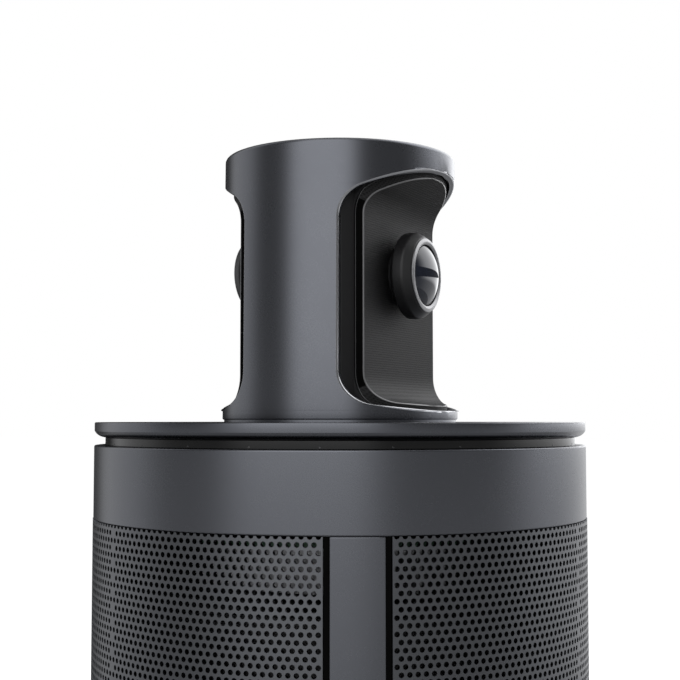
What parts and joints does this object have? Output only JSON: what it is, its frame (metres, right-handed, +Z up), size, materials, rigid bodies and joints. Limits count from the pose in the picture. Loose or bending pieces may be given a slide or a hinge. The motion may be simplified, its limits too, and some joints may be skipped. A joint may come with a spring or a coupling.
{
  "type": "conference speakerphone",
  "caption": "Tabletop conference speakerphone: round speaker body with perforated wrap and a camera head with opposed wide-angle lenses",
  "frame": {"origin": "middle of the resting face, on the surface that the foot ring stands on", "axes": "+Z up along the body's axis; lens A looks along -Y, lens B and the rear sockets face +Y; +X is to the right of lens A's image as seen from in front"},
  "size_m": [0.1002, 0.1001, 0.276],
  "materials": {
    "shell_metal": "satin anodised graphite",
    "wrap_metal": "perforated steel, satin graphite paint",
    "base_plastic": "fine spark texture",
    "black_plastic": "matte moulded",
    "mesh_black": "fine micro-perforated face",
    "lens_black": "satin black anodised",
    "trim_grey": "satin turned",
    "optical_glass": "coated, polished",
    "optics_black": "inner lens cells with iris",
    "button_rubber": "satin with printed marks",
    "smoked_ring": "smoked, polished",
    "led_white": "clear lens",
    "circuit_board": "solder mask",
    "chip_black": "moulded epoxy",
    "mic_metal": "tinned can",
    "socket_steel": "plated",
    "cast_metal": "as cast",
    "flex_amber": "polyimide film",
    "magnet_steel": "sintered and plated",
    "cone_paper": "coated pulp",
    "surround_rubber": "half roll",
    "spider_cloth": "corrugated, impregnated",
    "foot_rubber": "soft matte",
    "screw_steel": "black zinc",
    "brass_insert": "turned"
  },
  "bodies": {
    "housing": {"base_plate": "base_plastic", "base_screws": "screw_steel", "camera_flex": "flex_amber", "dc_jack": "chip_black", "deck_carrier": "black_plastic", "deck_disc": "shell_metal", "diffuser": "black_plastic", "ethernet_socket": "socket_steel", "foot_ring": "foot_rubber", "grille_front": "wrap_metal", "grille_left": "wrap_metal", "grille_right": "wrap_metal", "halo_leds": "led_white", "halo_ring": "smoked_ring", "hdmi_socket": "socket_steel", "head_chassis": "cast_metal", "head_gasket": "black_plastic", "head_shell": "shell_metal", "heat_sink": "cast_metal", "inner_frame": "black_plastic", "lens_barrel_a": "lens_black", "lens_barrel_b": "lens_black", "lens_glass_a": "optical_glass", "lens_glass_b": "optical_glass", "lens_optics_a": "optics_black", "lens_optics_b": "optics_black", "lens_trim_a": "trim_grey", "lens_trim_b": "trim_grey", "lower_band": "base_plastic", "main_board": "circuit_board", "main_chips": "chip_black", "mic_capsules": "mic_metal", "port_board": "circuit_board", "recess_liner_a": "black_plastic", "recess_liner_b": "black_plastic", "recess_mesh_a": "mesh_black", "recess_mesh_b": "mesh_black", "rib_gaskets": "black_plastic", "rib_left": "shell_metal", "rib_rear": "shell_metal", "rib_right": "shell_metal", "sensor_board_a": "circuit_board", "sensor_board_b": "circuit_board", "speaker_basket": "black_plastic", "speaker_enclosure": "black_plastic", "speaker_magnet": "magnet_steel", "speaker_spider": "spider_cloth", "speaker_surround": "surround_rubber", "tact_switches": "chip_black", "top_board": "circuit_board", "tripod_insert": "brass_insert", "upper_band": "shell_metal", "usb_c_socket": "socket_steel"},
    "power_key": {"power_button": "button_rubber"},
    "mute_key": {"mute_button": "button_rubber"},
    "mode_key": {"mode_button": "button_rubber"},
    "volume_up_key": {"volume_up_button": "button_rubber"},
    "volume_down_key": {"volume_down_button": "button_rubber"},
    "voice_coil": {"speaker_cone": "cone_paper"}
  },
  "joints": [
    {"name": "power_press", "type": "slide", "parent": "housing", "child": "power_key", "axis": [0, 0, -1], "range_m": [0, 0.0004], "stiffness_N_per_m": 3000, "springref_m": -0.0002},
    {"name": "mute_press", "type": "slide", "parent": "housing", "child": "mute_key", "axis": [0, 0, -1], "range_m": [0, 0.0004], "stiffness_N_per_m": 3000, "springref_m": -0.0002},
    {"name": "mode_press", "type": "slide", "parent": "housing", "child": "mode_key", "axis": [0, 0, -1], "range_m": [0, 0.0004], "stiffness_N_per_m": 3000, "springref_m": -0.0002},
    {"name": "volume_up_press", "type": "slide", "parent": "housing", "child": "volume_up_key", "axis": [0, 0, -1], "range_m": [0, 0.0004], "stiffness_N_per_m": 3000, "springref_m": -0.0002},
    {"name": "volume_down_press", "type": "slide", "parent": "housing", "child": "volume_down_key", "axis": [0, 0, -1], "range_m": [0, 0.0004], "stiffness_N_per_m": 3000, "springref_m": -0.0002},
    {"name": "cone_travel", "type": "slide", "parent": "housing", "child": "voice_coil", "axis": [0, 0, -1], "range_m": [-0.0015, 0.0015], "stiffness_N_per_m": 1500, "deforming": ["speaker_surround", "speaker_spider"]}
  ]
}
